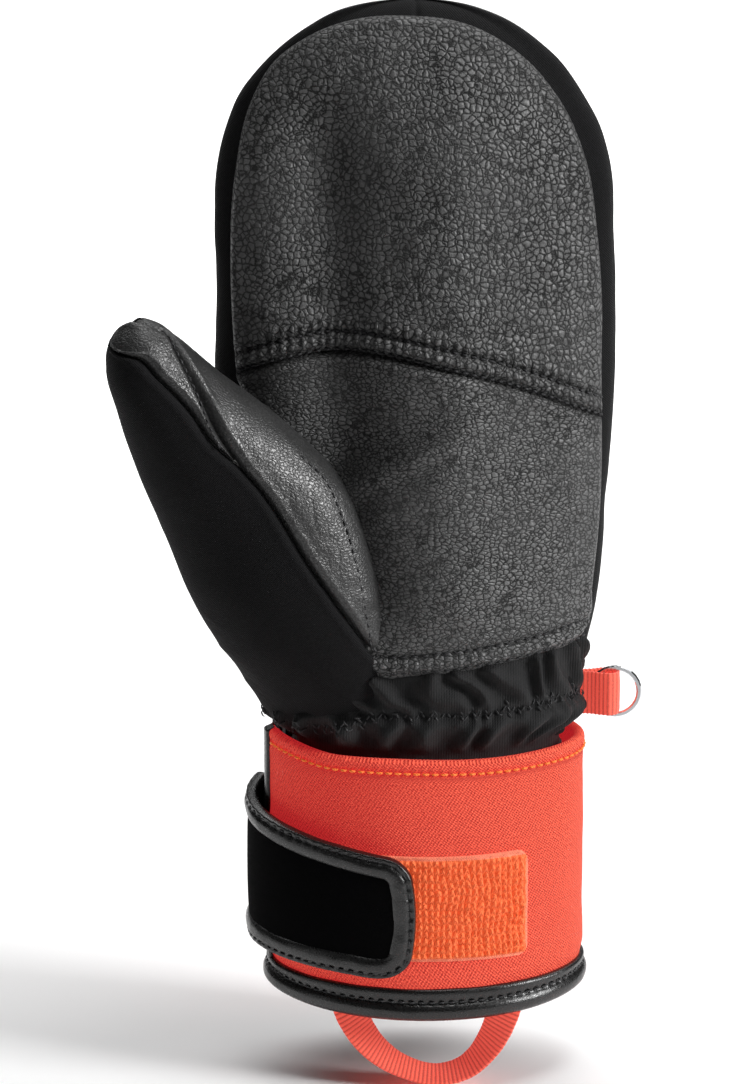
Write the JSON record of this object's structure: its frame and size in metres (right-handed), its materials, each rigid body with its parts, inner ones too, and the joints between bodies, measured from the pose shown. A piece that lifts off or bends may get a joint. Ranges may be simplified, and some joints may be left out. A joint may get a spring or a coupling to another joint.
{
  "type": "ski mitten",
  "caption": "Left ski mitten with leather palm and thumb, softshell back, gathered waist, stretch cuff with hook-and-loop tab, webbing ring tab and hanging loop.",
  "frame": {"origin": "centre of the cuff opening, in the plane of the hem", "axes": "+Z to the fingertips, palm faces -Y, thumb on the -X side, left hand"},
  "size_m": [0.1241, 0.0639, 0.2569],
  "materials": {
    "leather": "grained goat leather, black, semi-matt",
    "softshell": "matt woven softshell",
    "wrist_twill": "fine gathered twill",
    "wadding": "polyester wadding",
    "lining": "brushed tricot",
    "neoprene": "knit-faced stretch foam, fluorescent red",
    "binding": "smooth black synthetic leather",
    "loop_knit": "orange loop knit",
    "webbing": "ribbed red webbing",
    "hook_tape": "hook tape",
    "elastic": "woven elastic",
    "steel": "polished wire"
  },
  "bodies": {
    "mitten": {"palm_finger_panel": "leather", "palm_heel_panel": "leather", "thumb_palm_panel": "leather", "thumb_tip_strip": "leather", "back_shell": "softshell", "thumb_back_panel": "softshell", "tab_anchor": "softshell", "wrist_palm_panel": "wrist_twill", "wrist_back_panel": "wrist_twill", "palm_insulation": "wadding", "back_insulation": "wadding", "thumb_insulation": "wadding", "hand_lining": "lining", "thumb_lining": "lining", "cuff_lining": "lining", "cuff_gusset": "lining", "cuff_sleeve": "neoprene", "cuff_hem_binding": "binding", "slit_binding_front": "binding", "slit_binding_back": "binding", "cuff_loop_patch": "loop_knit", "wrist_elastic": "elastic"},
    "closure_tab": {"closure_tab": "softshell", "closure_tab_binding": "binding", "closure_hook_patch": "hook_tape"},
    "ring_tab": {"ring_tab": "webbing"},
    "ring": {"steel_ring": "steel"},
    "hang_loop": {"hang_loop": "webbing"}
  },
  "joints": [
    {"name": "tab_peel", "type": "hinge", "parent": "mitten", "child": "closure_tab", "pos_m": [-0.03993, 0.00887, 0.0298], "axis": [0, 0, -1], "range_deg": [0, 120]},
    {"name": "ring_tab_flap", "type": "hinge", "parent": "mitten", "child": "ring_tab", "pos_m": [0.0379, 0, 0.0709], "axis": [0, 0, 1], "range_deg": [-45, 45]},
    {"name": "ring_swing", "type": "hinge", "parent": "ring_tab", "child": "ring", "pos_m": [0.0394, 0, 0.0709], "axis": [0, 0, 1], "range_deg": [-25, 25]},
    {"name": "loop_swing", "type": "hinge", "parent": "mitten", "child": "hang_loop", "pos_m": [0, -0.019, -0.0009], "axis": [1, 0, 0], "range_deg": [-54, 54]}
  ]
}
